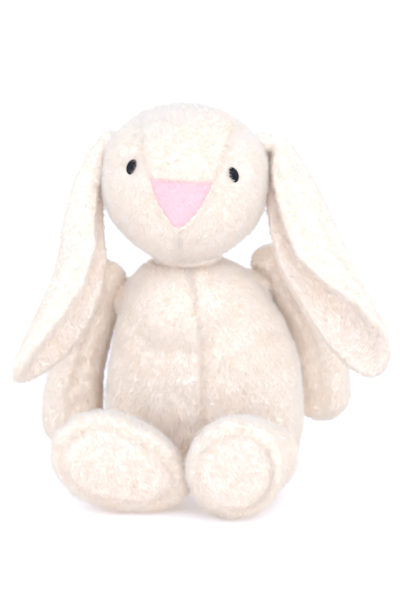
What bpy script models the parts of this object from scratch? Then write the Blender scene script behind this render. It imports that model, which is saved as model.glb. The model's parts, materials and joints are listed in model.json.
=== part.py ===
"""Sitting plush rabbit with long lop ears: cloth panels, stuffing, sewn seams, bead eyes and a nose patch.

Lengths in this file are millimetres and are turned into metres when a mesh is made.  +Z is up, the rabbit
looks along -Y, +X is the rabbit's own left, and the origin is on the table under the middle of the body.
"""
from math import cos, pi, radians, sin

import bmesh
import bpy
import numpy as np
from mathutils import Matrix, Vector

MM = 0.001

# Driving dimensions ------------------------------------------------------------------------------------------
PILE_CLOTH = 3.6          # backing plus pile of one body panel
EAR_BACK_PLY, EAR_LINING_PLY = 4.8, 3.8
NOSE_CLOTH = 3.2          # the short pile patch
SEAM_GAP = 0.3            # between two sewn panels
LIMB_SEAM_GAP = 0.45      # between the two long panels of a limb
FILL_GAP = 0.5            # between a panel and the stuffing behind it

BODY_HEIGHT = 134.0
BODY_HALF_WIDTH = 59.0
BODY_FRONT, BODY_BACK = 46.0, 46.0
HEAD_CENTRE = np.array((-8.2, -7.0, 187.0))
HEAD_HALF_WIDTH = 47.0
HEAD_FRONT, HEAD_BACK = 47.5, 42.0
HEAD_UP, HEAD_DOWN = 38.0, 51.5
HEAD_ROLL, HEAD_YAW = radians(4.0), radians(-3.0)
EYE_SIDE, EYE_UP = radians(38.5), radians(8.0)
EYE_RADIUS, EYE_STEM = 4.5, 1.6
WASHER_RADIUS, WASHER_THICK = 6.4, 1.2
NECK = np.array((-7.8, -4.0, 134.8))

LEFT_SHOULDER, RIGHT_SHOULDER, HIP_HEIGHT, TAIL_HEIGHT = 115.0, 110.0, 27.0, 30.0
LEFT_ARM_TURN, RIGHT_ARM_TURN = 114.0, 105.0     # round the body from the front
SHOULDER_RADIUS, HIP_RADIUS = 13.5, 18.5
SHOULDER_CLEAR, HIP_CLEAR = 1.2, 1.0
EAR_ROOT_RADIUS, EAR_CLEAR = 4.4, 1.8
LEFT_EAR_FLAT, RIGHT_EAR_FLAT = 0.5, 0.3                             # how far a folded ear is pressed flat
LEFT_EAR_PLACE, RIGHT_EAR_PLACE = (126.0, 0.67), (134.0, -0.76)     # turn and side on the head
TAIL_RADIUS, TAIL_CLEAR = 18.0, 1.6


# Mesh helpers ------------------------------------------------------------------------------------------------
def clear_scene():
    for obj in list(bpy.data.objects):
        bpy.data.objects.remove(obj, do_unlink=True)


def material(name, rgb, roughness, sheen=0.0, coat=0.0):
    mat = bpy.data.materials.new(name)
    mat.use_nodes = True
    shader = mat.node_tree.nodes["Principled BSDF"]
    shader.inputs["Base Color"].default_value = (*rgb, 1.0)
    shader.inputs["Roughness"].default_value = roughness
    shader.inputs["Sheen Weight"].default_value = sheen
    shader.inputs["Coat Weight"].default_value = coat
    mat.diffuse_color = (*rgb, 1.0)
    return mat


def finish_mesh(name, bm, mat, sharp=50.0):
    """Weld, point the faces outward and turn a bmesh in millimetres into an object."""
    bmesh.ops.scale(bm, vec=(MM, MM, MM), verts=bm.verts)
    bmesh.ops.remove_doubles(bm, verts=bm.verts, dist=2e-6)
    bmesh.ops.recalc_face_normals(bm, faces=bm.faces)
    if bm.calc_volume(signed=True) < 0:
        bmesh.ops.reverse_faces(bm, faces=bm.faces)
    mesh = bpy.data.meshes.new(name)
    bm.to_mesh(mesh)
    bm.free()
    mesh.materials.append(mat)
    mesh.shade_smooth()
    mesh.set_sharp_from_angle(angle=radians(sharp))
    obj = bpy.data.objects.new(name, mesh)
    bpy.context.scene.collection.objects.link(obj)
    return obj


def shaped_grid(points, wrap):
    """A grid primitive laid on a surface: vertex i, j goes to points[i, j] and remembers its place."""
    if wrap:
        points = np.concatenate((points, points[:1]))
    n, m = points.shape[:2]
    bm = bmesh.new()
    place = bm.verts.layers.int.new("place")
    bmesh.ops.create_grid(bm, x_segments=n - 1, y_segments=m - 1, size=1.0)
    for v in bm.verts:
        i, j = round((v.co.x + 1) / 2 * (n - 1)), round((v.co.y + 1) / 2 * (m - 1))
        v[place] = (i % (n - 1) if wrap else i) * m + j
        v.co = points[i, j]
    bmesh.ops.remove_doubles(bm, verts=bm.verts, dist=2e-3)
    return bm, place


def sheet(name, outer, inner, mat, wrap=False):
    """A thick sheet of cloth: the outer face is laid out, then extruded to the inner face."""
    bm, place = shaped_grid(outer, wrap)
    grown = bmesh.ops.extrude_face_region(bm, geom=bm.faces[:])["geom"]
    inner = inner.reshape(-1, 3)
    for v in grown:
        if isinstance(v, bmesh.types.BMVert):
            v.co = inner[v[place]]
    return finish_mesh(name, bm, mat)


def lump(name, grid, mat):
    """A solid body from a stack of closed rings: grid[i, j] is point i of ring j."""
    ends = [np.repeat(grid[:, k].mean(axis=0)[None, None], len(grid), axis=0) for k in (0, -1)]
    bm, _ = shaped_grid(np.concatenate((ends[0], grid, ends[1]), axis=1), True)
    return finish_mesh(name, bm, mat)


def turned(profile, centre, axis, sides=16, closed=False):
    """A turned shape spun about its axis; profile rows are (radius, height along the axis)."""
    axis, centre = Vector(unit(axis)), Vector(centre)
    across = axis.cross(Vector((0.13, 0.24, 0.96))).normalized()
    bm = bmesh.new()
    verts = [bm.verts.new(centre + across * r + axis * h) for r, h in profile]
    edges = [bm.edges.new(pair) for pair in zip(verts, verts[1:] + verts[:1] if closed else verts[1:])]
    bmesh.ops.spin(bm, geom=verts + edges, cent=centre, axis=axis, angle=2 * pi, steps=sides, use_merge=True)
    bmesh.ops.remove_doubles(bm, verts=bm.verts, dist=1e-3)
    return bm


def thread_line(name, spine, tube, mat, closed):
    """Sewing thread: a curve with a round bevel."""
    curve = bpy.data.curves.new(name, "CURVE")
    curve.dimensions = "3D"
    curve.bevel_depth, curve.bevel_resolution, curve.resolution_u = tube * MM, 1, 1
    curve.use_fill_caps = not closed
    line = curve.splines.new("POLY")
    line.points.add(len(spine) - 1)
    for point, at in zip(line.points, np.asarray(spine) * MM):
        point.co = (*at, 1.0)
    line.use_cyclic_u = closed
    line.use_smooth = True
    curve.materials.append(mat)
    obj = bpy.data.objects.new(name, curve)
    bpy.context.scene.collection.objects.link(obj)
    return obj


def loop_of_thread(name, centre, axis, radius, tube, mat, waves=0, swing=0.0, steps=14):
    """A closed ring of sewing thread; waves make it climb to and fro like a ladder stitch."""
    axis = unit(axis)
    across = unit(np.cross(axis, (0.13, 0.24, 0.96)))
    third = np.cross(axis, across)
    turn = np.arange(steps) * 2 * pi / steps
    out = np.cos(turn)[:, None] * across + np.sin(turn)[:, None] * third
    spine = centre + out * radius + axis * (swing * np.sin(waves * turn))[:, None]
    return thread_line(name, spine, tube, mat, True)


def cut(target, name, bm):
    """Take a hidden cutter out of a body."""
    cutter = finish_mesh(name, bm, target.data.materials[0])
    cutter.hide_render = True
    cutter.display_type = "WIRE"
    boolean = target.modifiers.new(name, "BOOLEAN")
    boolean.operation, boolean.solver, boolean.object = "DIFFERENCE", "EXACT", cutter


# Curves and surfaces -----------------------------------------------------------------------------------------
def unit(v):
    v = np.asarray(v, float)
    return v / np.linalg.norm(v, axis=-1, keepdims=True)


def spline(rows, s):
    """A smooth curve through the rows; s runs from 0 at the first row to 1 at the last."""
    rows = np.asarray(rows, float)
    last = len(rows) - 1
    x = np.clip(np.asarray(s, float), 0, 1) * last
    i = np.minimum(x.astype(int), last - 1)
    f = (x - i)[..., None]
    rows = np.vstack((2 * rows[0] - rows[1], rows, 2 * rows[-1] - rows[-2]))
    a, b, c, d = (rows[i + k] for k in range(4))
    bend, twist = 2 * a - 5 * b + 4 * c - d, 3 * b - a - 3 * c + d
    return 0.5 * (2 * b + (c - a) * f + bend * f ** 2 + twist * f ** 3)


def dome(row, height, flat=1.0, steps=3):
    """Rows that round a ring off to a point, as on the end of a cushion."""
    rows = []
    for k in range(1, steps + 1):
        a = pi / 2 * k / steps
        shrink = max(cos(a), 0.0) ** flat if k < steps else 0.0
        rows.append([row[0] + height * sin(a), *row[1:3], *(r * shrink for r in row[3:])])
    return rows


def stack(rows, frame, bump=None):
    """Surface through oval rings set along frame[2].

    A row is (place along the axis, centre a, centre b, radius +a, radius -a, radius +b, radius -b), where a
    and b run along frame[0] and frame[1].
    """
    e1, e2, axis = (np.array(e, float) for e in frame)

    def surface(turn, along):
        q = spline(rows, along)
        ca, sa = np.cos(turn), np.sin(turn)
        ra = np.maximum(np.where(ca > 0, q[..., 3], q[..., 4]), 0)
        rb = np.maximum(np.where(sa > 0, q[..., 5], q[..., 6]), 0)
        a, b = (q[..., 1] + ra * ca)[..., None], (q[..., 2] + rb * sa)[..., None]
        at = q[..., 0:1] * axis + a * e1 + b * e2
        return at if bump is None else at + bump(turn, along)

    return surface


def surface_normals(surface, u, v):
    step, edge = 1e-3, 4e-3
    low, high = surface.limits if hasattr(surface, "limits") else (0.0, 1.0)
    v = np.clip(v, low + edge, high - edge)
    du = surface(u + step, v) - surface(u - step, v)
    dv = surface(u, v + step) - surface(u, v - step)
    n = unit(np.cross(du, dv))
    middle = surface(np.linspace(0, 2 * pi, 12, endpoint=False)[:, None],
                     np.linspace(low + .1, high - .1, 7)[None]).reshape(-1, 3).mean(axis=0)
    facing = np.sign((n * (surface(u, v) - middle)).sum(-1).sum())
    return n * facing


def inset(surface, u, v, depth):
    """Points below a surface by depth, level with it at the poles."""
    p, n = surface(u, v), surface_normals(surface, u, v)
    for k in range(p.shape[1]):
        if np.ptp(p[:, k], axis=0).max() < 1e-3:
            ring = np.linspace(0, 2 * pi, 24, endpoint=False)[:, None]
            n[:, k] = unit(surface_normals(surface, ring, v[:1, k:k + 1] + 0 * ring).mean(axis=(0, 1)))
    return p - n * depth


def panel(name, surface, us, vs, mat, shift=(0, 0, 0), depth=PILE_CLOTH, wrap=False):
    u, v = np.meshgrid(us, vs, indexing="ij")
    shift = np.array(shift, float)
    return sheet(name, surface(u, v) + shift, inset(surface, u, v, depth) + shift, mat, wrap)


def stuffing(name, surface, vs, mat, sides=16, first=0.0, depth=PILE_CLOTH + FILL_GAP):
    turn = first + np.arange(sides) * 2 * pi / sides
    u, v = np.meshgrid(turn, vs, indexing="ij")
    return lump(name, inset(surface, u, v, depth), mat)


# Body --------------------------------------------------------------------------------------------------------
def body_rows():
    """Rings of the pear shaped body from the seat up: height, centre x, centre y, side, side, back, front."""
    w, f, b = BODY_HALF_WIDTH, BODY_FRONT, BODY_BACK
    shape = ((0.0, 0.84, 1.0, 2), (0.06, 0.96, 1.5, 2), (0.19, 1.03, 2.5, 2), (0.34, 1.03, 2.5, 3),
             (0.50, 0.985, 2.5, 4), (0.66, 0.885, 1.3, 4), (0.79, 0.76, -1.7, 4), (0.90, 0.62, -4.2, 3),
             (0.965, 0.44, -6.0, 2), (0.992, 0.23, -7.2, 0), (1.0, 0.0, -7.8, -2))
    return [[h * BODY_HEIGHT, x, y, k * w, k * w, k * b, k * f] for h, k, x, y in shape]


def belly_crease(turn, along):
    """The front seam pulls the belly in a little."""
    away = np.angle(np.exp(1j * (turn + pi / 2)))
    depth = 1.6 * np.exp(-(away / 0.16) ** 2) * np.exp(-((along - 0.4) / 0.2) ** 2)
    return np.stack((0 * depth, depth, 0 * depth), -1)


BODY = stack(body_rows(), ((1, 0, 0), (0, 1, 0), (0, 0, 1)), belly_crease)
BODY_LEVELS = np.linspace(0, 1, 14)


def body_at(turn, height):
    """A point on the body at a height and the way out of it there."""
    heights = [row[0] for row in body_rows()]
    u, v = np.array([[turn]]), np.array([[np.interp(height, heights, np.linspace(0, 1, len(heights)))]])
    return BODY(u, v)[0, 0], surface_normals(BODY, u, v)[0, 0]


def build_body(plush, seat_cloth, fibre, bag_cloth, beads, thread):
    half = SEAM_GAP / 2
    quarters = (("torso_front_left", -pi / 2, 0.0, 1, -1), ("torso_back_left", 0.0, pi / 2, 1, 1),
                ("torso_back_right", pi / 2, pi, -1, 1), ("torso_front_right", pi, 3 * pi / 2, -1, -1))
    for name, start, stop, sx, sy in quarters:
        panel(name, BODY, np.linspace(start, stop, 7), BODY_LEVELS, plush, (half * sx, half * sy, 0.3))
    turn = np.arange(24) * 2 * pi / 24
    edge = BODY(turn[:, None], np.zeros((24, 1)))[:, 0]
    middle = edge.mean(axis=0)
    reach = np.array((0.0, 0.5, 1.0))[None, :, None]
    under = middle + (edge - middle)[:, None] * reach * (1 - 0.5 / 45)
    under[..., 2] = 0.0
    above = middle + (edge - middle)[:, None] * reach * (1 - 4.4 / 45)
    above[..., 2] = 2.6
    sheet("seat_panel", under[:, ::-1], above[:, ::-1], seat_cloth, wrap=True)
    bag_top, bag = 0.245, PILE_CLOTH + FILL_GAP
    levels = np.linspace(0.035, bag_top, 5)
    u, v = np.meshgrid(np.arange(24) * 2 * pi / 24, levels, indexing="ij")
    outside, inside = inset(BODY, u, v, bag), inset(BODY, u, v, bag + 1.0)
    base = outside[:, :1].mean(axis=0, keepdims=True)
    base = np.repeat(base, 24, axis=0)
    lift = np.array((0, 0, 1.0))
    outside = np.concatenate((base, outside), axis=1)
    inside = np.concatenate((base + lift, inside[:, :1] + lift, inside[:, 1:]), axis=1)
    sheet("pellet_bag_cloth", outside, inside, bag_cloth, wrap=True)
    fill = inset(BODY, u[:, :-1], v[:, :-1], bag + 1.0 + FILL_GAP)
    fill[:, 0] += lift * 1.6
    lump("pellet_fill", fill, beads)
    levels = np.concatenate(((bag_top + 0.02,), BODY_LEVELS[5:-1:2], (0.985,)))
    stuffing("torso_stuffing", BODY, levels, fibre, 12)
    seam_stitches("closing_stitch", thread)


def seam_stitches(name, thread):
    """The last seam closed by hand up the back: thread lying to and fro over the seam."""
    along = np.linspace(0.40, 0.62, 15)
    p = BODY(np.full(15, pi / 2), along)
    n = surface_normals(BODY, np.full((1, 15), pi / 2), along[None])[0]
    spine = p + n * 1.1 + np.array((0, 0.15, 0.3))
    spine[:, 0] += 2.0 * np.where(np.arange(15) % 2, 1, -1)
    thread_line(name, spine, 0.55, thread, False)


# Head --------------------------------------------------------------------------------------------------------
def tilt_head(p):
    """Turn points from the head's own frame into the world."""
    cr, sr, cy, sy = cos(HEAD_ROLL), sin(HEAD_ROLL), cos(HEAD_YAW), sin(HEAD_YAW)
    roll = np.array(((cr, 0, sr), (0, 1, 0), (-sr, 0, cr)))
    yaw = np.array(((cy, -sy, 0), (sy, cy, 0), (0, 0, 1)))
    return p @ (yaw @ roll).T + HEAD_CENTRE


def head(turn, side):
    """Head surface: turn is the angle up from the nose round the ear axis, side runs -1 to 1 across."""
    b = np.asarray(side) * pi / 2
    deep = np.where(np.cos(turn) > 0, HEAD_FRONT, HEAD_BACK)
    tall = np.where(np.sin(turn) > 0, HEAD_UP, HEAD_DOWN)
    jowl = 0.19 * np.maximum(-np.sin(turn), 0) ** 1.5 * np.cos(b)
    snout = 4.0 * np.exp(-((turn_from(turn, -8.0)) / 0.42) ** 2 - (b / 0.42) ** 2)
    x = HEAD_HALF_WIDTH * np.sin(b) * (1 + jowl)
    y = -np.cos(turn) * deep * np.cos(b) - snout
    z = np.sin(turn) * tall * np.cos(b)
    return tilt_head(np.stack(np.broadcast_arrays(x, y, z), -1))


head.limits = (-1.0, 1.0)


def turn_from(turn, degrees):
    return np.angle(np.exp(1j * (turn - radians(degrees))))


NOSE_TIP, NOSE_TOP, GUSSET_END = -30.0, 1.0, 222.0
NOSE_LEVELS = np.array((NOSE_TIP, -27.0, -23.0, -14.0, NOSE_TOP))


def gusset_half_width(degrees):
    """Half width of the middle strip: nothing at the chin, widest on the crown, narrow at the nape."""
    wide = np.interp(degrees, (NOSE_TIP, -23.0, -14.0, NOSE_TOP, 30, 62, 105, 160, GUSSET_END),
                     (1.2, 8.5, 13.5, 18.5, 23.5, 27, 27, 19, 1.5))
    return np.where((degrees < NOSE_TIP) | (degrees > GUSSET_END), 0.0, wide)


def side_at(width):
    return np.arcsin(width / HEAD_HALF_WIDTH) / (pi / 2)


def head_strip(name, degrees, mat, depth, lift=0.0, tilt=0.0, across=9):
    """A strip across the head between the two cheek seams."""
    k = np.linspace(-1, 1, across)
    deg = np.broadcast_to(degrees[:, None], (len(degrees), across)).copy()
    if tilt:
        deg += tilt * k[None] * (1 - (degrees[:, None] - degrees[0]) / np.ptp(degrees))
    wide = gusset_half_width(deg) - SEAM_GAP / 2
    side = side_at(wide * k[None])
    turn = np.radians(deg)
    p, n = head(turn, side), surface_normals(head, turn, side)
    return sheet(name, p + n * lift, p - n * depth, mat)


def cheek(name, sign, mat):
    deg = np.concatenate((NOSE_LEVELS, np.linspace(30, GUSSET_END, 11),
                          np.linspace(GUSSET_END, 360 + NOSE_TIP, 9)[1:-1]))
    start = side_at(gusset_half_width(deg) + SEAM_GAP / 2)
    reach = (1 - np.linspace(0, 1, 7)) ** 1.15
    side = 1 - (1 - start[:, None]) * reach[None]
    turn = np.radians(deg)[:, None] + 0 * side
    p, n = head(turn, sign * side), surface_normals(head, turn, sign * side)
    n[:, -1] = unit(n[:, -2].mean(axis=0))
    return sheet(name, p, p - n * PILE_CLOTH, mat, wrap=True)


def eye_place(sign):
    u, v = np.array([[EYE_UP]]), np.array([[sign * EYE_SIDE / (pi / 2)]])
    return head(u, v)[0, 0], surface_normals(head, u, v)[0, 0]


def build_head(plush, nose_cloth, fibre, eye_plastic, washer_plastic):
    along = np.concatenate((np.linspace(NOSE_TOP + 0.45, 30, 3), np.linspace(49.2, GUSSET_END, 10)))
    head_strip("head_gusset", along, plush, PILE_CLOTH)
    head_strip("nose_patch", NOSE_LEVELS, nose_cloth, NOSE_CLOTH, lift=0.5)
    turn, side = np.meshgrid(np.arange(16) * 2 * pi / 16, np.linspace(-0.93, 0.93, 9), indexing="ij")
    n = surface_normals(head, turn, side)
    fill = lump("head_stuffing", head(turn, side) - n * (PILE_CLOTH + FILL_GAP + 0.7), fibre)
    for word, sign in (("left", 1), ("right", -1)):
        skin = cheek(f"head_side_{word}", sign, plush)
        at, out = eye_place(sign)
        r = EYE_RADIUS
        ball = [(r * cos(a), -1.0 + 0.95 * r * sin(a)) for a in np.radians((0, 22, 45, 67))]
        ball += [(0, 0.95 * r - 1.0)]
        eye = [(0, -8.0), (EYE_STEM, -8.0), (EYE_STEM, -1.9), (r - 0.5, -1.9)] + ball
        finish_mesh(f"{word}_eye", turned(eye, at, out), eye_plastic, 35)
        low = -PILE_CLOTH - 1.9
        ring = [(EYE_STEM + 0.3, low), (WASHER_RADIUS, low), (WASHER_RADIUS, low - WASHER_THICK),
                (EYE_STEM + 0.3, low - WASHER_THICK)]
        finish_mesh(f"{word}_eye_washer", turned(ring, at, out, closed=True), washer_plastic, 35)
        hole = EYE_STEM + 0.4
        socket = [(0, -12), (hole, -12), (hole, -2.3), (r + 0.5, -2.3), (r + 0.5, 6), (0, 6)]
        cut(skin, f"{word}_eye_socket", turned(socket, at, out))
        pocket = [(0, -9.5), (WASHER_RADIUS + 0.5, -9.5), (WASHER_RADIUS + 0.5, 4), (0, 4)]
        cut(fill, f"{word}_washer_pocket", turned(pocket, at, out))


# Ears --------------------------------------------------------------------------------------------------------
# One row per station from root to tip: x, y, z of the outer crease, way the fold opens, half angle of the fold.
LEFT_EAR = ((42.5, 7.0, 203.5, 168, 95), (52.0, 5.0, 195.5, 166, 95), (62.0, 0.0, 181.0, 162, 96),
            (73.0, -7.0, 160.0, 156, 96), (85.0, -16.0, 131.0, 150, 86), (93.5, -24.0, 102.0, 132, 52),
            (103.0, -31.0, 68.0, 105, 14))
RIGHT_EAR = ((-57.5, 7.0, 200.5, 8, 95), (-64.5, 5.0, 189.0, 10, 95), (-71.5, 0.0, 173.0, 12, 94),
             (-76.5, -9.0, 153.0, 14, 92), (-79.5, -20.0, 129.0, 18, 85), (-91.0, -28.0, 99.0, 24, 70),
             (-107.0, -34.0, 66.0, 32, 55))
LEFT_EAR_WIDTH = ((6.5,), (16.0,), (25.0,), (33.0,), (36.0,), (31.0,), (20.0,))
RIGHT_EAR_WIDTH = ((6.5,), (12.0,), (16.0,), (21.5,), (27.0,), (27.0,), (20.0,))


def ear_surface(path, width, pressed):
    """Middle surface of an ear: across runs -1 to 1, along runs from the root to the tip."""
    def surface(across, along):
        row = spline(path, along)
        ahead = unit((spline(path, along + 0.01) - spline(path, along - 0.01))[..., :3])
        face, bend = np.radians(row[..., 3:4]), np.radians(row[..., 4])
        open_to = np.concatenate((np.cos(face), -np.sin(face), 0 * face), -1)
        wide = unit(np.cross(ahead, open_to))
        open_to = np.cross(wide, ahead)
        half = spline(width, along)[..., 0]
        half = half * np.sqrt(np.clip(1 - np.clip((along - 0.80) / 0.20, 0, 1) ** 2, 0, 1))
        flat = pressed * np.clip((1 - along) / 0.4, 0, 1) * np.clip(along / 0.2, 0, 1)
        return (row[..., :3] + (half / bend * np.sin(across * bend) * (1 - flat))[..., None] * wide
                + (half / bend * (1 - np.cos(across * bend)) * (1 + flat))[..., None] * open_to)
    return surface


def build_ear(word, path, width, pressed, plush, lining, thread):
    middle = ear_surface(path, width, pressed)
    across = np.sin(np.linspace(-pi / 2, pi / 2, 9))[[0, 2, 3, 4, 5, 6, 8]]
    along = np.concatenate((np.linspace(0, 0.8, 9), 0.8 + 0.2 * np.sin(np.radians((25, 50, 70, 83)))))
    u, v = np.meshgrid(across, along, indexing="ij")
    p = middle(u, v)
    du, dv = middle(u + 1e-3, v) - middle(u - 1e-3, v), middle(u, v + 1e-3) - middle(u, v - 1e-3)
    n = unit(np.cross(du, dv))
    face = radians(path[0][3])
    if (n[3, 3] * np.array((cos(face), -sin(face), 0))).sum() < 0:
        n = -n
    root = np.sqrt(np.clip(1 - np.clip(1 - v / 0.05, 0, 1) ** 2 * 0.75, 0.0, 1))
    tip = np.sqrt(np.clip(1 - np.clip((v - 0.86) / 0.14, 0, 1) ** 2, 0.0, 1))
    gap = SEAM_GAP / 2
    for word_side, side, ply, mat in (("front", n, EAR_LINING_PLY, lining), ("back", -n, EAR_BACK_PLY, plush)):
        thick = (1.3 + (ply - 1.3) * np.sqrt(1 - u ** 4) * tip) * root
        sheet(f"{word}_ear_{word_side}", p + side * (gap + thick)[..., None], p + side * gap, mat)
    pivot, out = ear_pivot(word)
    ring_at = pivot - out * (EAR_ROOT_RADIUS + EAR_CLEAR / 2)
    loop_of_thread(f"{word}_ear_root_stitch", ring_at, out, 4.2, 0.5, thread)


def ear_pivot(word):
    """Where the ear bends at its root, and the way out of the head there."""
    turn, side = LEFT_EAR_PLACE if word == "left" else RIGHT_EAR_PLACE
    u, v = np.array([[radians(turn)]]), np.array([[side]])
    at, out = head(u, v)[0, 0], surface_normals(head, u, v)[0, 0]
    return at + out * (EAR_ROOT_RADIUS + EAR_CLEAR), out


# Limbs -------------------------------------------------------------------------------------------------------
def arm_rows(sign, levels, turns, clear):
    """Rings of an arm that hangs down the side of the body, from the shoulder to the paw."""
    radii = (SHOULDER_RADIUS, 15.4, 18.2, 18.8)
    rows = []
    for level, radius, degrees, free in zip(levels, radii, turns, clear):
        at, out = body_at(-pi / 2 + sign * radians(degrees), level)
        flat = unit((out[0], out[1], 0)) if radius > SHOULDER_RADIUS else out
        c = at + flat * (radius + free)
        rows.append([-c[2], c[0], c[1], radius, radius, radius, radius])
    top = [[-r[0], *r[1:]] for r in dome([-rows[0][0], *rows[0][1:]], SHOULDER_RADIUS)][::-1]
    return top + rows + dome(rows[-1], rows[-1][3] * 1.0)


def build_limb(word, part, surface, levels, split, plush, fibre, last, steps=7):
    """Two long panels sewn edge to edge round the stuffing; split is the way the outer panel faces."""
    shift = np.array((cos(split), sin(split))) * LIMB_SEAM_GAP / 2
    for side, start, sign in (("outer", split - pi / 2, 1), ("inner", split + pi / 2, -1)):
        turns = np.linspace(start, start + pi, steps)
        a, b = (surface.e1, surface.e2)
        panel(f"{word}_{part}_{side}", surface.f, turns, levels, plush, sign * (shift[0] * a + shift[1] * b))
    stuffing(f"{word}_{part}_stuffing", surface.f, np.concatenate((levels[1:-1], last)), fibre,
             2 * steps - 2, split - pi / 2)


class Limb:
    def __init__(self, rows, frame):
        self.f = stack(rows, frame)
        self.e1, self.e2 = (np.array(e, float) for e in frame[:2])


ARM_FRAME = ((1, 0, 0), (0, 1, 0), (0, 0, -1))


def shoulder_place(word):
    """Where the arm is sewn on, the way out of the body there, and the middle of the arm's rounded top."""
    sign, degrees, level = 1, LEFT_ARM_TURN, LEFT_SHOULDER
    if word == "right":
        sign, degrees, level = -1, RIGHT_ARM_TURN, RIGHT_SHOULDER
    at, out = body_at(-pi / 2 + sign * radians(degrees), level)
    return at, out, at + out * (SHOULDER_RADIUS + SHOULDER_CLEAR)


def build_arm(word, levels, turns, clear, plush, fibre, thread):
    sign = 1 if word == "left" else -1
    limb = Limb(arm_rows(sign, levels, turns, clear), ARM_FRAME)
    split = -pi / 2 + sign * radians(100.0)
    build_limb(word, "arm", limb, np.linspace(0, 1, 15), split, plush, fibre, (0.988,))
    at, out, _ = shoulder_place(word)
    loop_of_thread(f"{word}_arm_seam", at + out * 0.66, out, 4.8, 0.36, thread)


def leg_frame(toes):
    """a points to the toes, b across the sole, and the axis forward to the sole."""
    a = (cos(radians(toes)), 0, sin(radians(toes)))
    b = (-sin(radians(toes)), 0, cos(radians(toes)))
    return a, b, (0, -1, 0)


def leg_rows(hip, sole, frame, foot, sole_y):
    """Rings from the hip to the sole; foot is (toe reach, heel reach, half width, half width)."""
    def at(y, x, z):
        return [-y, x * frame[0][0] + z * frame[0][2], x * frame[1][0] + z * frame[1][2]]
    r = HIP_RADIUS
    start = at(hip[1], hip[0], hip[2]) + [r] * 4
    back = [[-q[0], *q[1:]] for q in dome([-start[0], *start[1:]], r)][::-1]
    rows = back + [start]
    foot = np.array(foot, float)
    for k, size in ((0.30, 0.42), (0.62, 0.86), (1.0, 1.0)):
        y = hip[1] + (sole_y - hip[1]) * k
        x, z = hip[0] + (sole[0] - hip[0]) * size, hip[2] + (sole[1] - hip[2]) * size
        rows.append(at(y, x, z) + list(r + 2.0 + (foot - r - 2.0) * k ** 0.7))
    return rows + dome(rows[-1], 10.5, flat=0.72, steps=4)


def hip_place(word):
    sign, degrees = (1, 27.0) if word == "left" else (-1, 37.0)
    at, out = body_at(-pi / 2 + sign * radians(degrees), HIP_HEIGHT)
    out = unit((out[0], out[1], 0))
    return at, out, at + out * (HIP_RADIUS + HIP_CLEAR)


def build_leg(word, sole, toes, foot, sole_y, plush, sole_cloth, fibre, thread):
    at, out, hip = hip_place(word)
    frame = leg_frame(toes)
    rows = leg_rows(hip, sole, frame, foot, sole_y)
    limb = Limb(rows, frame)
    rim = 8.05 / (len(rows) - 1)
    split = radians(90.0)
    build_limb(word, "leg", limb, np.linspace(0, rim, 12), split, plush, fibre, (0.84, 0.93, 0.985), steps=9)
    turns = np.arange(16) * 2 * pi / 16
    panel(f"{word}_foot_sole", limb.f, turns, np.linspace(rim, 1, 5), sole_cloth, (0, -0.3, 0), wrap=True)
    centre = at + out * (HIP_CLEAR + 1.3)
    loop_of_thread(f"{word}_leg_seam", centre, out, 8.8, 0.7, thread)


# Tail --------------------------------------------------------------------------------------------------------
def tail_place():
    at, out = body_at(pi / 2, TAIL_HEIGHT)
    out = unit((out[0], out[1], 0))
    return at, out, at + out * (TAIL_RADIUS + TAIL_CLEAR)


def build_tail(plush, thread):
    at, out, centre = tail_place()
    bm = bmesh.new()
    bmesh.ops.create_uvsphere(bm, u_segments=18, v_segments=10, radius=TAIL_RADIUS,
                              matrix=Matrix.Translation(centre) @ Matrix.Rotation(pi / 2, 4, "X"))
    finish_mesh("tail_pompom", bm, plush)
    loop_of_thread("tail_stitch", at + out * 1.15, out, 5.5, 0.5, thread)


def main():
    clear_scene()
    cream = (0.93, 0.87, 0.80)
    plush = material("cream_plush", cream, 0.95, 0.4)
    soft = material("cream_plush_ear", (0.94, 0.85, 0.77), 0.95, 0.4)
    sole = material("cream_sole_plush", (0.95, 0.88, 0.78), 0.95, 0.4)
    pink = material("pink_nose_plush", (0.93, 0.50, 0.62), 0.9, 0.3)
    fibre = material("polyester_fibre", (0.92, 0.92, 0.91), 1.0)
    bag = material("bag_cloth", (0.90, 0.90, 0.88), 0.9)
    beads = material("plastic_pellets", (0.85, 0.86, 0.87), 0.5)
    black = material("black_bead_plastic", (0.006, 0.006, 0.007), 0.08, coat=1.0)
    washer = material("washer_plastic", (0.80, 0.80, 0.79), 0.45)
    thread = material("cream_thread", (0.90, 0.84, 0.76), 0.7)

    build_body(plush, plush, fibre, bag, beads, thread)
    build_head(plush, pink, fibre, black, washer)
    loop_of_thread("neck_stitching", NECK, (0, 0, 1), 15.0, 0.8, thread, waves=8, swing=0.5, steps=32)
    build_ear("left", LEFT_EAR, LEFT_EAR_WIDTH, LEFT_EAR_FLAT, plush, soft, thread)
    build_ear("right", RIGHT_EAR, RIGHT_EAR_WIDTH, RIGHT_EAR_FLAT, plush, soft, thread)
    build_arm("left", (LEFT_SHOULDER, 92.0, 66.0, 43.0), (LEFT_ARM_TURN, 114, 114, 113),
              (SHOULDER_CLEAR, 0.8, 0.8, 1.0), plush, fibre, thread)
    build_arm("right", (RIGHT_SHOULDER, 86.0, 57.0, 29.5), (RIGHT_ARM_TURN, 104, 102, 101),
              (SHOULDER_CLEAR, 1.5, 3.0, 3.5), plush, fibre, thread)
    build_leg("left", (20.0, 30.0), 80.0, (29.5, 29.5, 28.0, 27.5), -92.0, plush, sole, fibre, thread)
    build_leg("right", (-53.0, 31.0), 160.0, (33.5, 52.0, 26.5, 27.0), -80.0, plush, sole, fibre, thread)
    build_tail(plush, thread)
    hang_on_joints()


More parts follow.
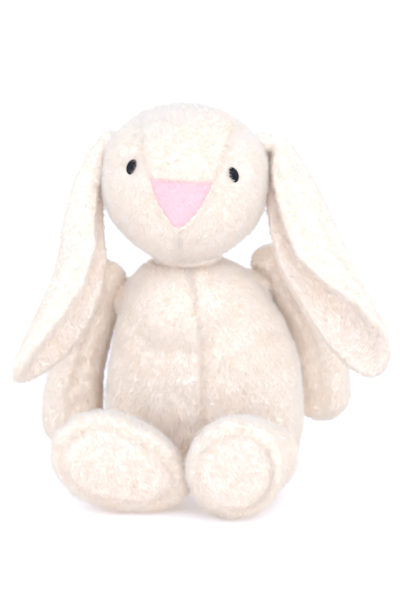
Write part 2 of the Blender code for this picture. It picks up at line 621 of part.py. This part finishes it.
def hinge(name, at, parent, nodes):
    """An empty on a joint's axis, carrying the bodies that turn on it."""
    at = Vector(at) * MM
    empty = bpy.data.objects.new(name, None)
    empty.empty_display_size = 0.01
    bpy.context.scene.collection.objects.link(empty)
    empty.location = at
    empty["world"] = at
    if parent is not None:
        empty.parent = parent
        empty.location = at - Vector(parent["world"])
    for node in nodes:
        obj = bpy.data.objects[node]
        obj.data.transform(Matrix.Translation(-at))
        obj.parent = empty
    return empty


def names(word, *pieces):
    return [f"{word}_{piece}" for piece in pieces]


def hang_on_joints():
    """Put every moving piece under an empty on its joint: the neck carries the head and the head its ears."""
    neck = hinge("neck_turn", NECK, None, ["neck_stitching"])
    head_nodes = ["head_gusset", "nose_patch", "head_stuffing"]
    for word in ("left", "right"):
        head_nodes += names(word, "eye", "eye_washer", "eye_socket", "washer_pocket") + [f"head_side_{word}"]
    skull = hinge("neck_nod", NECK, neck, head_nodes)
    for word in ("left", "right"):
        at = ear_pivot(word)[0]
        swing = hinge(f"{word}_ear_swing", at, skull, names(word, "ear_root_stitch"))
        hinge(f"{word}_ear_lift", at, swing, names(word, "ear_front", "ear_back"))
        at = shoulder_place(word)[2]
        swing = hinge(f"{word}_arm_swing", at, None, names(word, "arm_seam"))
        hinge(f"{word}_arm_lift", at, swing, names(word, "arm_outer", "arm_inner", "arm_stuffing"))
        at = hip_place(word)[2]
        turn = hinge(f"{word}_leg_turn", at, None, names(word, "leg_seam"))
        hinge(f"{word}_leg_raise", at, turn, names(word, "leg_outer", "leg_inner", "foot_sole", "leg_stuffing"))
    hinge("tail_wag", tail_place()[0], None, ["tail_pompom"])


main()
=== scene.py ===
"""Looks for the plush rabbit: soft covers grown from the CAD panels, dense pile, bead eyes and thread.

Lengths are metres.  +Z is up, the rabbit looks along -Y and +X is its own left.
"""
import json
import math
from dataclasses import dataclass

import bmesh
import bpy
import numpy as np
from mathutils import Matrix, Vector
from mathutils.bvhtree import BVHTree
from mathutils.kdtree import KDTree


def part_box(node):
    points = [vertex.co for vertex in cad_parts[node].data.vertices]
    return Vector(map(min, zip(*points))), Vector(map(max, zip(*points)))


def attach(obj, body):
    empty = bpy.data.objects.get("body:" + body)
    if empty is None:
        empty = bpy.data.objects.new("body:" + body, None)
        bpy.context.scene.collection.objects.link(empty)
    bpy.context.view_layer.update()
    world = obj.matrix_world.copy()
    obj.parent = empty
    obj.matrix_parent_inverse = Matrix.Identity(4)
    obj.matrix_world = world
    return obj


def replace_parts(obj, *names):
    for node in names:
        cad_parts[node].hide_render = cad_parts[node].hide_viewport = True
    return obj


MM = 0.001
SIDES = ("left", "right")
WELD = 1e-6
FAR = 1.0

# Filling: how long the cloth is pressed out, how hard, and how much longer it is than its pattern.
SIM_FRAMES = 16
PRESSURE = 30.0
EASE = 0.04
SEAM_WIDTH = 3.0 * MM

# One fibre is a ring of three roots (points 0 to 2) and a tip (3).
THIRDS = (0.0, 2 * math.pi / 3, 4 * math.pi / 3)
STRAND = np.array(((0, 1, 3), (1, 2, 3), (2, 0, 3)))
ROOT_DEPTH = 0.3 * MM
FLOOR_GAP = 0.25 * MM
NAP_WAVES, NAP_WAVE_SCALE, NAP_WAVE_SPREAD = 5, 45.0, 2.2
STRAY_SHARE, STRAY_EXTRA = 0.06, 0.4
SEAM_CROWDING, SEAM_REACH = 0.8, 2.0 * MM

# Pile covers the sides of the eyes, so less of each bead shows, and it shows slanted.
EYE_ACROSS, EYE_TALL, EYE_TILT = 0.58, 1.12, 0.3

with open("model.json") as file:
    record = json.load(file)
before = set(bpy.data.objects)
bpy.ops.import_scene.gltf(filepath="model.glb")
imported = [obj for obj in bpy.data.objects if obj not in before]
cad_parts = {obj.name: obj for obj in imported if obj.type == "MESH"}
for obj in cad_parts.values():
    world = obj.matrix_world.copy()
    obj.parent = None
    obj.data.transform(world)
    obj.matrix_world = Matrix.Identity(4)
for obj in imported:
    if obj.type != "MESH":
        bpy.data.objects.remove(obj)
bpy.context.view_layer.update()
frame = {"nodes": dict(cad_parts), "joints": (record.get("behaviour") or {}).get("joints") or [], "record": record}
BODY_OF = {node: body for body, nodes in frame["record"]["behaviour"]["bodies"].items() for node in nodes}
SLOT_OF = {part["node"]: part["material_slot"] for part in frame["record"]["subparts"]}


# Materials ----------------------------------------------------------------------------------------
class Nodes:
    """A small helper that adds and links shader nodes."""

    def __init__(self, name):
        self.mat = bpy.data.materials.new(name)
        self.mat.use_nodes = True
        self.tree = self.mat.node_tree
        self.shader = self.tree.nodes["Principled BSDF"]

    def add(self, kind, inputs=None, **settings):
        """A new node; each input is a value or the socket that feeds it."""
        node = self.tree.nodes.new(kind)
        for key, value in settings.items():
            setattr(node, key, value)
        for key, value in (inputs or {}).items():
            if isinstance(value, bpy.types.NodeSocket):
                self.tree.links.new(value, node.inputs[key])
            else:
                node.inputs[key].default_value = value
        return node

    def set(self, **inputs):
        """Inputs of the shader itself, with underscores for the spaces in their names."""
        for key, value in inputs.items():
            socket = self.shader.inputs[key.replace("_", " ")]
            if isinstance(value, bpy.types.NodeSocket):
                self.tree.links.new(value, socket)
            else:
                socket.default_value = value

    def place(self):
        return self.add("ShaderNodeTexCoord").outputs["Object"]

    def noise(self, scale, detail=3.0, rough=0.55, stretch=None):
        vector = self.place()
        if stretch:
            vector = self.add("ShaderNodeMapping", {"Vector": vector, "Scale": stretch}).outputs[0]
        return self.add("ShaderNodeTexNoise", {"Vector": vector, "Scale": scale, "Detail": detail,
                                               "Roughness": rough}).outputs["Fac"]

    def ramp(self, fac, stops):
        node = self.add("ShaderNodeValToRGB", {"Fac": fac})
        ramp = node.color_ramp
        while len(ramp.elements) < len(stops):
            ramp.elements.new(0.5)
        for element, (at, rgb) in zip(ramp.elements, stops):
            element.position, element.color = at, (*rgb, 1.0)
        return node.outputs["Color"]

    def bump(self, height, strength, distance):
        return self.add("ShaderNodeBump", {"Height": height, "Strength": strength,
                                           "Distance": distance}).outputs["Normal"]


def pile_material(name, deep, fair, scale=90.0):
    """Cut pile: colour drifts between two close shades in soft tufts, with a dull sheen."""
    n = Nodes(name)
    colour = n.ramp(n.noise(scale), ((0.34, deep), (0.66, fair)))
    grain = n.noise(scale * 3)
    rough = n.add("ShaderNodeMapRange", {"Value": grain, "To Min": 0.82, "To Max": 0.98}).outputs[0]
    n.set(Base_Color=colour, Roughness=rough, Specular_IOR_Level=0.15, Sheen_Weight=0.1, Sheen_Roughness=0.6,
          Sheen_Tint=(1, 0.97, 0.94, 1), Normal=n.bump(n.noise(900.0, 2.0), 0.15, 0.0004))
    return n.mat


def backing_material(name, deep, fair):
    """The knitted backing with the pile's roots: fine loops over a slow colour drift."""
    n = Nodes(name)
    loops = n.add("ShaderNodeTexVoronoi", {"Vector": n.place(), "Scale": 700.0}).outputs["Distance"]
    colour = n.ramp(n.noise(60.0), ((0.3, deep), (0.7, fair)))
    n.set(Base_Color=colour, Roughness=0.95, Sheen_Weight=0.3, Specular_IOR_Level=0.1,
          Normal=n.bump(loops, 0.5, 0.0005))
    return n.mat


def thread_material():
    """Two-ply sewing thread with its twist."""
    n = Nodes("sewing_thread")
    twist = n.add("ShaderNodeTexWave", {"Vector": n.place(), "Scale": 900.0, "Distortion": 1.5},
                  bands_direction="DIAGONAL").outputs["Fac"]
    n.set(Base_Color=n.ramp(twist, ((0.2, (0.80, 0.70, 0.58)), (0.8, (0.93, 0.86, 0.77)))), Roughness=0.6,
          Normal=n.bump(twist, 0.6, 0.0003))
    return n.mat


def fibre_material():
    """Loose polyester filling, drawn out upwards."""
    n = Nodes("polyester_fibre")
    strands = n.noise(260.0, 5.0, 0.7, stretch=(1.0, 1.0, 0.25))
    n.set(Base_Color=n.ramp(strands, ((0.3, (0.80, 0.79, 0.77)), (0.7, (0.96, 0.95, 0.94)))), Roughness=0.9,
          Normal=n.bump(strands, 0.8, 0.001))
    return n.mat


def bag_material():
    """Plain woven cotton of the pellet bag."""
    n = Nodes("pellet_bag_weave")
    weave = n.add("ShaderNodeTexWave", {"Vector": n.place(), "Scale": 420.0}).outputs["Fac"]
    n.set(Base_Color=n.ramp(weave, ((0.0, (0.82, 0.81, 0.78)), (1.0, (0.94, 0.93, 0.90)))), Roughness=0.85,
          Normal=n.bump(weave, 0.4, 0.0003))
    return n.mat


def pellet_material():
    """Small plastic pellets, a cell each, with painted shade: each cell lighter in its middle and darker out to
    its rim, where the pellets meet.
    """
    n = Nodes("pellets")
    beads = n.add("ShaderNodeTexVoronoi", {"Vector": n.place(), "Scale": 330.0}).outputs["Distance"]
    # The colour ramp paints shade: light at each pellet's middle, darker towards the gaps between pellets.
    n.set(Base_Color=n.ramp(beads, ((0.1, (0.93, 0.94, 0.95)), (0.7, (0.70, 0.71, 0.73)))), Roughness=0.35,
          Normal=n.bump(beads, 1.0, 0.002))
    return n.mat


def washer_material():
    """Moulded white plastic with a faint grain."""
    n = Nodes("washer_plastic")
    grain = n.noise(1200.0, 2.0)
    n.set(Base_Color=n.ramp(grain, ((0.3, (0.76, 0.76, 0.75)), (0.7, (0.84, 0.84, 0.83)))), Roughness=0.45,
          Normal=n.bump(grain, 0.15, 0.0002))
    return n.mat


def eye_material():
    """Polished black bead with a few fine scuffs in its gloss."""
    n = Nodes("black_bead")
    scuff = n.noise(700.0, 4.0, 0.7)
    gloss = n.add("ShaderNodeMapRange", {"Value": scuff, "From Min": 0.55, "From Max": 0.8, "To Min": 0.05,
                                         "To Max": 0.22}).outputs[0]
    n.set(Base_Color=(0.002, 0.002, 0.003, 1), Roughness=gloss, Specular_IOR_Level=0.03)
    return n.mat


# Slot to (pile, backing) for the covers.
LOOKS = {
    "plush_cream": (pile_material("cream_pile", (0.995, 0.815, 0.62), (0.999, 0.86, 0.70)),
                    backing_material("cream_backing", (0.987, 0.80, 0.61), (0.996, 0.85, 0.69))),
    "plush_ear": (pile_material("ear_lining_pile", (0.99, 0.80, 0.62), (0.996, 0.85, 0.69)),
                  backing_material("ear_lining_backing", (0.98, 0.785, 0.61), (0.99, 0.84, 0.68))),
    "plush_sole": (pile_material("sole_pile", (0.965, 0.775, 0.595), (0.98, 0.82, 0.665)),
                   backing_material("sole_backing", (0.955, 0.76, 0.58), (0.97, 0.805, 0.65))),
    "plush_pink": (pile_material("pink_pile", (0.97, 0.42, 0.42), (1.0, 0.48, 0.47), scale=160.0),
                   backing_material("pink_backing", (0.95, 0.40, 0.42), (0.98, 0.47, 0.49))),
}
# Slot to material for the pieces that keep their CAD shape.
PLAIN = {"fibre_fill": fibre_material(), "bag_cloth": bag_material(), "pellets": pellet_material(),
         "washer_plastic": washer_material(), "thread_cream": thread_material()}


@dataclass
class Group:
    """Panels sewn into one cover over a filling.

    gathers: (centre, radius) of each bunch of cloth where another piece is sewn on.
    inset: how far the form lies inside the CAD faces.
    swell: how far the filling may press it out; 0 leaves it unfilled.
    groove: how deep its seams are pulled in.
    """

    name: str
    panels: list
    fill: list
    voxel: float
    rounds: int
    inset: float
    seed: int
    groove: float = 0.0
    swell: float = 0.0
    gathers: tuple = ()


# Soft forms ---------------------------------------------------------------------------------------
def arrays(mesh):
    """Vertices, vertex normals and triangles of a mesh."""
    verts, normals = np.empty(len(mesh.vertices) * 3), np.empty(len(mesh.vertices) * 3)
    mesh.vertices.foreach_get("co", verts)
    mesh.vertices.foreach_get("normal", normals)
    mesh.calc_loop_triangles()
    tris = np.empty(len(mesh.loop_triangles) * 3, dtype=np.int32)
    mesh.loop_triangles.foreach_get("vertices", tris)
    return verts.reshape(-1, 3), normals.reshape(-1, 3), tris.reshape(-1, 3)


def largest_island(bm):
    """Drop every loose part of a bmesh but the one with the most vertices."""
    left, best = set(bm.verts), []
    while left:
        edge = [left.pop()]
        island = list(edge)
        while edge:
            near = {e.other_vert(v) for v in edge for e in v.link_edges} & left
            left -= near
            edge = list(near)
            island += edge
        best = max(best, island, key=len)
    keep = set(best)
    bmesh.ops.delete(bm, geom=[v for v in bm.verts if v not in keep], context="VERTS")


def new_object(name, data):
    obj = bpy.data.objects.new(name, data)
    bpy.context.scene.collection.objects.link(obj)
    return obj


def bake_modifiers(obj):
    """The mesh of an object as its modifiers leave it; the object itself goes."""
    mesh = bpy.data.meshes.new_from_object(obj.evaluated_get(bpy.context.evaluated_depsgraph_get()))
    bpy.data.objects.remove(obj)
    return mesh


def soft_form(group):
    """One smooth closed form through a group's CAD nodes, a little inside their outer faces.

    Each of its faces carries the index of the panel it belongs to.
    """
    bm = bmesh.new()
    for centre, radius in group.gathers:
        bmesh.ops.create_icosphere(bm, subdivisions=3, radius=radius, matrix=Matrix.Translation(centre))
    for node in group.panels + group.fill:
        bm.from_mesh(frame["nodes"][node].data)
    bmesh.ops.remove_doubles(bm, verts=bm.verts, dist=WELD)
    mesh = bpy.data.meshes.new(group.name)
    bm.to_mesh(mesh)
    bm.free()
    obj = new_object(group.name, mesh)
    remesh = obj.modifiers.new("voxels", "REMESH")
    remesh.mode, remesh.voxel_size = "VOXEL", group.voxel
    smooth = obj.modifiers.new("smooth", "SMOOTH")
    smooth.factor, smooth.iterations = 0.5, group.rounds
    bm = bmesh.new()
    bm.from_mesh(bake_modifiers(obj))
    largest_island(bm)
    label_faces(bm, group.panels)
    bm.normal_update()
    for v, normal in [(v, v.normal.copy()) for v in bm.verts]:
        v.co -= normal * (group.inset + group.swell)
    mesh = bpy.data.meshes.new(group.name)
    bm.to_mesh(mesh)
    bm.free()
    return new_object(group.name, mesh)


def label_faces(bm, nodes):
    """Give each face the index of the CAD node whose panel it lies on."""
    depsgraph = bpy.context.evaluated_depsgraph_get()
    trees = [BVHTree.FromObject(frame["nodes"][node], depsgraph) for node in nodes]
    for face in bm.faces:
        at = face.calc_center_median()
        face.material_index = int(np.argmin([tree.find_nearest(at)[3] for tree in trees]))


def seam_points(mesh):
    """The vertices where two panels meet."""
    panels = {}
    for face in mesh.polygons:
        for k in face.vertices:
            panels.setdefault(k, set()).add(face.material_index)
    return [k for k, found in panels.items() if len(found) > 1]


def fill_out(made):
    """Press the filling against the cloth: every form is simulated as cloth held at its seams."""
    scene = bpy.context.scene
    starts = {}
    for obj, group in made:
        starts[obj] = arrays(obj.data)[0]
        obj.vertex_groups.new(name="sewn").add(seam_points(obj.data), 1.0, "REPLACE")
        cloth = obj.modifiers.new("filling", "CLOTH")
        cloth.settings.vertex_group_mass = "sewn"
        cloth.settings.use_pressure = True
        cloth.settings.uniform_pressure_force = PRESSURE
        cloth.settings.shrink_min = -EASE
        cloth.settings.effector_weights.gravity = 0.0
        cloth.point_cache.frame_start, cloth.point_cache.frame_end = 1, SIM_FRAMES
    for number in range(1, SIM_FRAMES + 1):
        scene.frame_set(number)
    depsgraph = bpy.context.evaluated_depsgraph_get()
    for obj, group in made:
        pressed = arrays(obj.evaluated_get(depsgraph).data)[0]
        moved = pressed - starts[obj]
        far = np.linalg.norm(moved, axis=1, keepdims=True)
        settled = starts[obj] + moved * np.minimum(1.0, group.swell / np.maximum(far, 1e-9))
        obj.modifiers.clear()
        obj.data.vertices.foreach_set("co", settled.ravel())
        obj.data.update()
    scene.frame_set(1)


def refined(obj):
    """The form with one subdivision and no modifiers, as a bmesh."""
    finer = obj.modifiers.new("finer", "SUBSURF")
    finer.levels = finer.render_levels = 1
    bm = bmesh.new()
    bm.from_mesh(bake_modifiers(obj))
    return bm


def sink_seams(bm, depth, width):
    """Pull the cover in along the lines where two panels are sewn together."""
    seam = [v.co.copy() for v in bm.verts if len({f.material_index for f in v.link_faces}) > 1]
    tree = KDTree(len(seam))
    for i, at in enumerate(seam):
        tree.insert(at, i)
    tree.balance()
    bm.normal_update()
    for v, normal in [(v, v.normal.copy()) for v in bm.verts]:
        away = tree.find(v.co)[2] if seam else FAR
        v.co -= normal * depth * math.exp(-(away / width) ** 2)


def panel_mesh(bm, index):
    """The faces of one panel as a smooth mesh of their own."""
    part = bm.copy()
    bmesh.ops.delete(part, geom=[f for f in part.faces if f.material_index != index], context="FACES")
    for face in part.faces:
        face.material_index, face.smooth = 0, True
    mesh = bpy.data.meshes.new("panel")
    part.to_mesh(mesh)
    part.free()
    return mesh


# Pile ---------------------------------------------------------------------------------------------
def unit(v):
    """Vectors scaled to length one."""
    return v / np.maximum(np.linalg.norm(v, axis=-1, keepdims=True), 1e-12)


def slow_field(points, scale, seed):
    """A smooth random vector at each point, from a few sine waves."""
    rng = np.random.default_rng(seed)
    field = np.zeros_like(points)
    for _ in range(NAP_WAVES):
        wave = rng.normal(size=(3, 3)) * scale
        field += np.sin(points @ wave + rng.uniform(0, 2 * math.pi, 3))
    return field / NAP_WAVE_SPREAD


def rim_distance(verts, tris):
    """How far each triangle lies from the open edge of its panel."""
    pairs = np.sort(tris[:, (0, 1, 1, 2, 2, 0)].reshape(-1, 2), axis=1)
    edges, uses = np.unique(pairs, axis=0, return_counts=True)
    rim = np.unique(edges[uses == 1])
    middles = verts[tris].mean(axis=1)
    if not len(rim):
        return np.full(len(tris), FAR)
    tree = KDTree(len(rim))
    for i, k in enumerate(rim):
        tree.insert(verts[k], i)
    tree.balance()
    return np.array([tree.find(p)[2] for p in middles])


def scatter(verts, normals, tris, per_mm2, rng):
    """Roots spread by area, closer along the seams, with the cover's normal at each."""
    a, b, c = (verts[tris[:, k]] for k in range(3))
    area = np.linalg.norm(np.cross(b - a, c - a), axis=1) / 2
    area = area * (1 + SEAM_CROWDING * np.exp(-(rim_distance(verts, tris) / SEAM_REACH) ** 2))
    count = int(area.sum() / MM ** 2 * per_mm2)
    chosen = rng.choice(len(tris), size=count, p=area / area.sum())
    r = rng.random((count, 2))
    flip = r.sum(axis=1) > 1
    r[flip] = 1 - r[flip]
    w = np.stack((1 - r.sum(axis=1), r[:, 0], r[:, 1]), -1)[..., None]
    corner = tris[chosen]
    return (verts[corner] * w).sum(axis=1), unit((normals[corner] * w).sum(axis=1))


def tufts(roots, lean, spacing, rng):
    """For each root the nearest tuft centre and that tuft's own lean."""
    count = max(1, int(len(roots) / spacing))
    centres = rng.choice(len(roots), size=count, replace=False)
    tree = KDTree(count)
    for i, k in enumerate(centres):
        tree.insert(roots[k], i)
    tree.balance()
    near = centres[[tree.find(p)[1] for p in roots]]
    return roots[near], lean[near]


def strands(verts, normals, tris, style, seed):
    """Fine three-sided fibres, root ring and tip, that lean with the nap and draw together into tufts."""
    rng = np.random.default_rng(seed)
    roots, out = scatter(verts, normals, tris, style["density"], rng)
    nap = np.array(style["nap"], float) + style["drift"] * slow_field(roots, NAP_WAVE_SCALE, seed + 1)
    nap = nap - out * (nap * out).sum(axis=1, keepdims=True)
    own = unit(out + style["lean"] * nap + style["fuzz"] * rng.normal(size=roots.shape))
    centre, tuft_lean = tufts(roots, own, style["tuft"], rng)
    stray = np.where(rng.random(len(roots)) > 1 - STRAY_SHARE, STRAY_EXTRA, 0.0)
    length = style["length"] * (0.7 + 0.6 * rng.random(len(roots)) + stray)[:, None]
    tip = roots + own * length
    tuft_tip = centre + tuft_lean * length
    tip = tip + (tuft_tip - tip) * style["draw"] * rng.uniform(0.4, 1.0, (len(roots), 1))
    tip[:, 2] = np.maximum(tip[:, 2], FLOOR_GAP)
    along = unit(tip - roots)
    a = unit(np.cross(along, rng.normal(size=roots.shape)))
    b = np.cross(along, a)
    wide = style["width"] * rng.uniform(0.75, 1.25, (len(roots), 1))
    ring = [roots - out * ROOT_DEPTH + (a * math.cos(turn) + b * math.sin(turn)) * wide for turn in THIRDS]
    return np.stack(ring + [tip], axis=1)


def furred_mesh(name, skin, style, seed):
    """The cover and its pile as one mesh: slot 0 is the backing and slot 1 the pile."""
    verts, normals, tris = arrays(skin)
    points = strands(verts, normals, tris, style, seed)
    base = len(verts) + np.arange(len(points))[:, None, None] * 4
    faces = np.concatenate((tris, (base + STRAND).reshape(-1, 3)))
    everything = np.concatenate((verts, points.reshape(-1, 3)))
    mesh = bpy.data.meshes.new(name)
    mesh.vertices.add(len(everything))
    mesh.vertices.foreach_set("co", everything.ravel())
    mesh.loops.add(faces.size)
    mesh.loops.foreach_set("vertex_index", faces.ravel().astype(np.int32))
    mesh.polygons.add(len(faces))
    mesh.polygons.foreach_set("loop_start", np.arange(0, faces.size, 3, dtype=np.int32))
    slots = (np.arange(len(faces)) >= len(tris)).astype(np.int32)
    mesh.polygons.foreach_set("material_index", slots)
    mesh.update(calc_edges=True)
    mesh.shade_smooth()
    return mesh


# Covers -------------------------------------------------------------------------------------------
# density is in fibres per square millimetre; lean, fuzz, draw and drift are shares of a fibre's length, and
# tuft is how many fibres draw together.
FUR = dict(density=4.4, length=3.6 * MM, width=0.10 * MM, lean=0.9, fuzz=0.7, tuft=18, draw=0.2, drift=0.7,
           nap=(0.0, -0.15, -1.0))
SHORT = dict(FUR, density=6.0, length=1.0 * MM, width=0.08 * MM, lean=0.5, tuft=6, draw=0.15)
EAR = dict(FUR, length=2.8 * MM)
SOLE = dict(FUR, length=3.1 * MM, lean=1.0, nap=(0.3, -0.2, -1.0))


def style_of(node):
    """The pile a node carries."""
    if node == "nose_patch":
        return SHORT
    if "_ear_" in node:
        return EAR
    if node.endswith("foot_sole"):
        return SOLE
    return FUR


def joint(name):
    return next(j for j in frame["joints"] if j["name"] == name)


def add_piece(name, mesh, body, slot):
    """A furred mesh in the scene, in its slot's look and riding on its body."""
    pile, backing = LOOKS[slot]
    mesh.materials.append(backing)
    mesh.materials.append(pile)
    obj = new_object(name, mesh)
    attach(obj, body)
    return obj


def cover(form, group):
    """Cut a form back into its panels, each with its own pile."""
    bm = refined(form)
    label_faces(bm, group.panels)
    sink_seams(bm, group.groove, SEAM_WIDTH)
    for index, node in enumerate(group.panels):
        skin = panel_mesh(bm, index)
        if not skin.polygons:
            continue
        mesh = furred_mesh(f"{node}_pile", skin, style_of(node), group.seed + index)
        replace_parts(add_piece(f"{node}_cover", mesh, BODY_OF[node], SLOT_OF[node]), node)
    bm.free()


def sewn_at(hinge_name, side, inward):
    """Where a limb or an ear is gathered, a little inward of its hinge."""
    hinge = joint(hinge_name)
    return Vector(hinge["pos_m"]) + Vector(hinge["axis"]) * (inward if side == "left" else -inward)


def groups():
    """What is sewn into one cover, and how its form is made."""
    neck = Vector(joint("neck_turn")["pos_m"])
    low, high = (Vector(corner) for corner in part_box("head_stuffing"))
    torso = ["torso_front_left", "torso_front_right", "torso_back_left", "torso_back_right", "seat_panel"]
    collar = (neck - Vector((0, 0, 35.0 * MM)), 36.0 * MM)
    below = Vector((0, 0, -4.0 * MM))
    shoulders = [(sewn_at(f"{side}_arm_swing", side, 10.0 * MM) + below, 10.0 * MM) for side in SIDES]
    yield Group("torso", torso, ["torso_stuffing", "pellet_bag_cloth"], voxel=4.0 * MM, rounds=4,
                inset=0.6 * MM, swell=1.4 * MM, groove=0.2 * MM, seed=10, gathers=(collar, *shoulders))
    skull = ["head_gusset", "nose_patch", "head_side_left", "head_side_right"]
    chin = (low + high) / 2 - Vector((0, 0, 3.5 * MM))
    yield Group("head", skull, ["head_stuffing"], voxel=2.6 * MM, rounds=4, inset=0.3 * MM, swell=0.5 * MM,
                seed=20, gathers=((chin, (high.x - low.x) / 2 + 1.0 * MM),))
    for k, side in enumerate(SIDES):
        arm = [f"{side}_arm_outer", f"{side}_arm_inner"]
        arm_root = (sewn_at(f"{side}_arm_swing", side, 4.0 * MM), 9.0 * MM)
        yield Group(f"{side}_arm", arm, [f"{side}_arm_stuffing"], voxel=3.2 * MM, rounds=4, inset=0.3 * MM,
                    swell=1.2 * MM, seed=30 + 10 * k, gathers=(arm_root,))
        leg = [f"{side}_leg_outer", f"{side}_leg_inner", f"{side}_foot_sole"]
        yield Group(f"{side}_leg", leg, [f"{side}_leg_stuffing"], voxel=3.2 * MM, rounds=4, inset=0.4 * MM,
                    swell=0.7 * MM, seed=50 + 10 * k)
        ear = [f"{side}_ear_front", f"{side}_ear_back"]
        ear_root = (sewn_at(f"{side}_ear_swing", side, 3.0 * MM), 6.5 * MM)
        yield Group(f"{side}_ear", ear, [], voxel=1.6 * MM, rounds=2, inset=0.0, seed=70 + 10 * k,
                    gathers=(ear_root,))
    tail_root = (Vector(joint("tail_wag")["pos_m"]) + Vector((0, 5.0 * MM, 0)), 9.0 * MM)
    yield Group("tail", ["tail_pompom"], [], voxel=2.5 * MM, rounds=3, inset=0.4 * MM, seed=90,
                gathers=(tail_root,))


def neck_gather():
    """The bunched cloth between head and torso, a thick ring that turns with the neck."""
    centre = Vector(joint("neck_turn")["pos_m"])
    radius, across, up = 12.5 * MM, 6.5 * MM, 4.5 * MM
    around, section = 48, 12
    points = []
    for turn in (2 * math.pi * k / around for k in range(around)):
        for roll in (2 * math.pi * k / section for k in range(section)):
            out = radius + across * math.cos(roll)
            points.append(centre + Vector((out * math.cos(turn), out * math.sin(turn), up * math.sin(roll))))
    faces = []
    for here in range(around):
        there = (here + 1) % around
        for k in range(section):
            after = (k + 1) % section
            faces.append([row * section + column for row, column in
                          ((here, k), (there, k), (there, after), (here, after))])
    skin = bpy.data.meshes.new("neck")
    skin.from_pydata(points, [], faces)
    add_piece("neck_gather_pile", furred_mesh("neck_gather_pile", skin, FUR, 5), "neck", "plush_cream")


def build_covers():
    """Every pile cover."""
    neck_gather()
    made = [(soft_form(group), group) for group in groups()]
    fill_out([(form, group) for form, group in made if group.swell])
    for form, group in made:
        cover(form, group)


# Hard and hidden pieces ---------------------------------------------------------------------------
def build_eyes():
    """Bead eyes: the CAD bead rounded off under a subdivision surface."""
    polish = eye_material()
    low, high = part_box("head_stuffing")
    head_middle = (Vector(low) + Vector(high)) / 2
    for side in SIDES:
        node = f"{side}_eye"
        bm = bmesh.new()
        bm.from_mesh(frame["nodes"][node].data)
        bmesh.ops.remove_doubles(bm, verts=bm.verts, dist=WELD)
        bmesh.ops.join_triangles(bm, faces=bm.faces, angle_face_threshold=0.7, angle_shape_threshold=0.7)
        centre = sum((v.co for v in bm.verts), Vector()) / len(bm.verts)
        outward = (centre - head_middle).normalized()
        across = Vector((0, 0, 1)).cross(outward).normalized()
        tilt = Matrix.Rotation(EYE_TILT if side == "left" else -EYE_TILT, 3, outward)
        for v in bm.verts:
            away = v.co - centre
            away += across * away.dot(across) * (EYE_ACROSS - 1) + Vector((0, 0, away.z * (EYE_TALL - 1)))
            v.co = centre + tilt @ away
        mesh = bpy.data.meshes.new(f"{node}_bead")
        bm.to_mesh(mesh)
        bm.free()
        mesh.materials.append(polish)
        mesh.shade_smooth()
        obj = new_object(f"{node}_bead", mesh)
        rounding = obj.modifiers.new("rounding", "SUBSURF")
        rounding.levels = rounding.render_levels = 2
        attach(obj, BODY_OF[node])
        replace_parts(obj, node)


def finish_hidden():
    """Materials of the filling, the pellets, their bag, the washers and the thread."""
    for node, obj in frame["nodes"].items():
        look = PLAIN.get(SLOT_OF[node])
        if look:
            obj.data.materials.clear()
            obj.data.materials.append(look)


# Stage --------------------------------------------------------------------------------------------
def build_floor():
    """A white studio floor that glows a little, so that it fades into the backdrop."""
    bm = bmesh.new()
    bmesh.ops.create_grid(bm, x_segments=1, y_segments=1, size=4.0)
    mesh = bpy.data.meshes.new("studio_floor")
    bm.to_mesh(mesh)
    bm.free()
    n = Nodes("white_floor")
    n.set(Base_Color=(0.88, 0.83, 0.79, 1), Roughness=0.9, Specular_IOR_Level=0.0,
          Emission_Color=(1, 1, 1, 1), Emission_Strength=0.14)
    mesh.materials.append(n.mat)
    new_object("studio_floor", mesh)


def area_light(name, at, target, size, watts, rgb):
    """A round softbox at a place, aimed at a target."""
    light = bpy.data.lights.new(name, "AREA")
    light.shape, light.size, light.energy, light.color = "DISK", size, watts, rgb
    obj = new_object(name, light)
    obj.location = at
    obj.rotation_euler = (Vector(target) - Vector(at)).to_track_quat("-Z", "Y").to_euler()


def build_studio():
    """A cool bright tent, a warm softbox in front and a fill from the viewer's right."""
    world = bpy.data.worlds.new("studio")
    world.use_nodes = True
    sky = world.node_tree.nodes["Background"]
    sky.inputs["Color"].default_value = (0.85, 1.01, 1.32, 1.0)
    sky.inputs["Strength"].default_value = 1.65
    bpy.context.scene.world = world
    area_light("softbox", (-0.35, -1.8, 0.2), (0, 0, 0.09), 2.6, 9.0, (1.0, 0.93, 0.87))
    area_light("fill", (1.0, -1.2, 0.4), (0, 0, 0.12), 1.2, 3.2, (1.0, 0.94, 0.89))
    cycles = bpy.context.scene.cycles
    cycles.max_bounces, cycles.diffuse_bounces = 24, 24
    view = bpy.context.scene.view_settings
    view.view_transform, view.gamma, view.exposure = "Standard", 1.5, 0.1


def build_camera():
    """A long lens from the front, a little above."""
    distance, elevation, aim = 1.1, math.radians(12.0), Vector((0.0, 0.0, 0.107))
    data = bpy.data.cameras.new("camera")
    data.lens, data.sensor_width = 110.0, 36.0
    camera = new_object("camera", data)
    camera.location = aim + Vector((0.0, -math.cos(elevation), math.sin(elevation))) * distance
    camera.rotation_euler = (aim - camera.location).to_track_quat("-Z", "Y").to_euler()
    bpy.context.scene.camera = camera


build_covers()
build_eyes()
finish_hidden()
build_floor()
build_studio()
build_camera()
